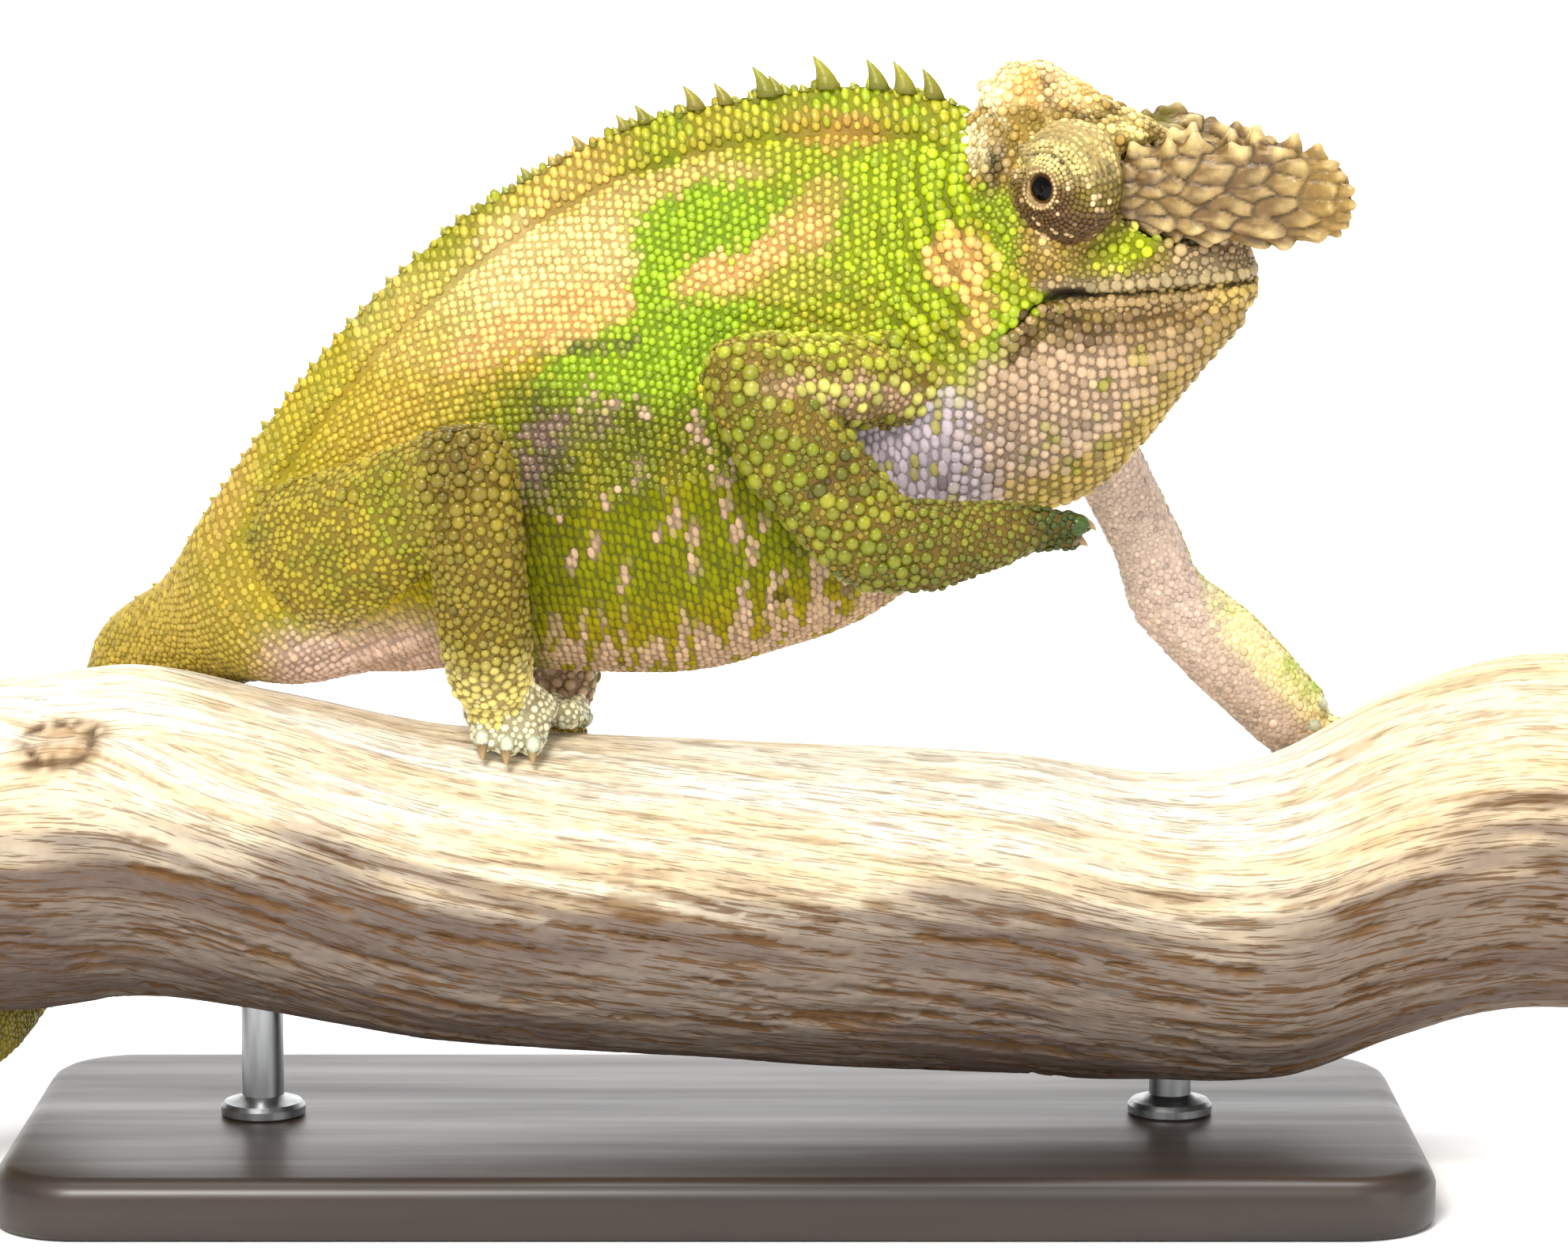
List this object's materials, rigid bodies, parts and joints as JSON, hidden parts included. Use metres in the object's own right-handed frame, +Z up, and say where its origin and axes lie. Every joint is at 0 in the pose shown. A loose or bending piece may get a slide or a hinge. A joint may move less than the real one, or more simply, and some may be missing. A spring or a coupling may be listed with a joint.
{
  "type": "two-horned chameleon on a branch perch",
  "caption": "Life-size male two-horned chameleon, casque and crest spines, gripping a bent length of bare branch held on a plain flat display stand.",
  "frame": {"origin": "the middle of the underside of the stand's base, where it rests", "axes": "+X towards the chameleon's snout and along the branch, +Y towards the animal's left, +Z up"},
  "size_m": [0.253, 0.078, 0.1523],
  "materials": {
    "skin": "matt granular scales, yellow-green with peach bands",
    "casque": "matt cobbled scales, peach and ochre",
    "throat": "matt round pebble scales, pink-white",
    "lid": "fine granular scales, olive brown",
    "horn": "knobbed horny plates, tan",
    "eye": "wet gloss, near black",
    "claw": "smooth horn, satin tan",
    "bark": "bleached bare wood, dry, fissured",
    "base": "dark stained hardwood, satin",
    "steel": "brushed"
  },
  "bodies": {
    "root": {"claw_foot_left_1": "claw", "claw_foot_left_2": "claw", "claw_foot_left_3": "claw", "claw_foot_left_4": "claw", "claw_foot_left_5": "claw", "claw_foot_right_1": "claw", "claw_foot_right_2": "claw", "claw_foot_right_3": "claw", "claw_foot_right_4": "claw", "claw_foot_right_5": "claw", "claw_hand_left_1": "claw", "claw_hand_left_2": "claw", "claw_hand_left_3": "claw", "claw_hand_left_4": "claw", "claw_hand_left_5": "claw", "claw_hand_right_1": "claw", "claw_hand_right_2": "claw", "claw_hand_right_3": "claw", "claw_hand_right_4": "claw", "claw_hand_right_5": "claw", "eye_left": "eye", "eye_right": "eye", "eyelid_left": "lid", "eyelid_right": "lid", "foot_left": "skin", "foot_right": "skin", "forearm_left": "skin", "forearm_right": "skin", "hand_left": "skin", "hand_right": "skin", "head": "casque", "horn_left": "horn", "horn_right": "horn", "lower_jaw": "throat", "neck": "skin", "perch": "bark", "shin_left": "skin", "shin_right": "skin", "stand_base": "base", "stand_rod_front": "steel", "stand_rod_rear": "steel", "tail_base": "skin", "tail_far": "skin", "tail_near": "skin", "tail_tip": "skin", "tail_under": "skin", "thigh_left": "skin", "thigh_right": "skin", "throat": "throat", "trunk": "skin", "upper_arm_left": "skin", "upper_arm_right": "skin"}
  },
  "joints": []
}
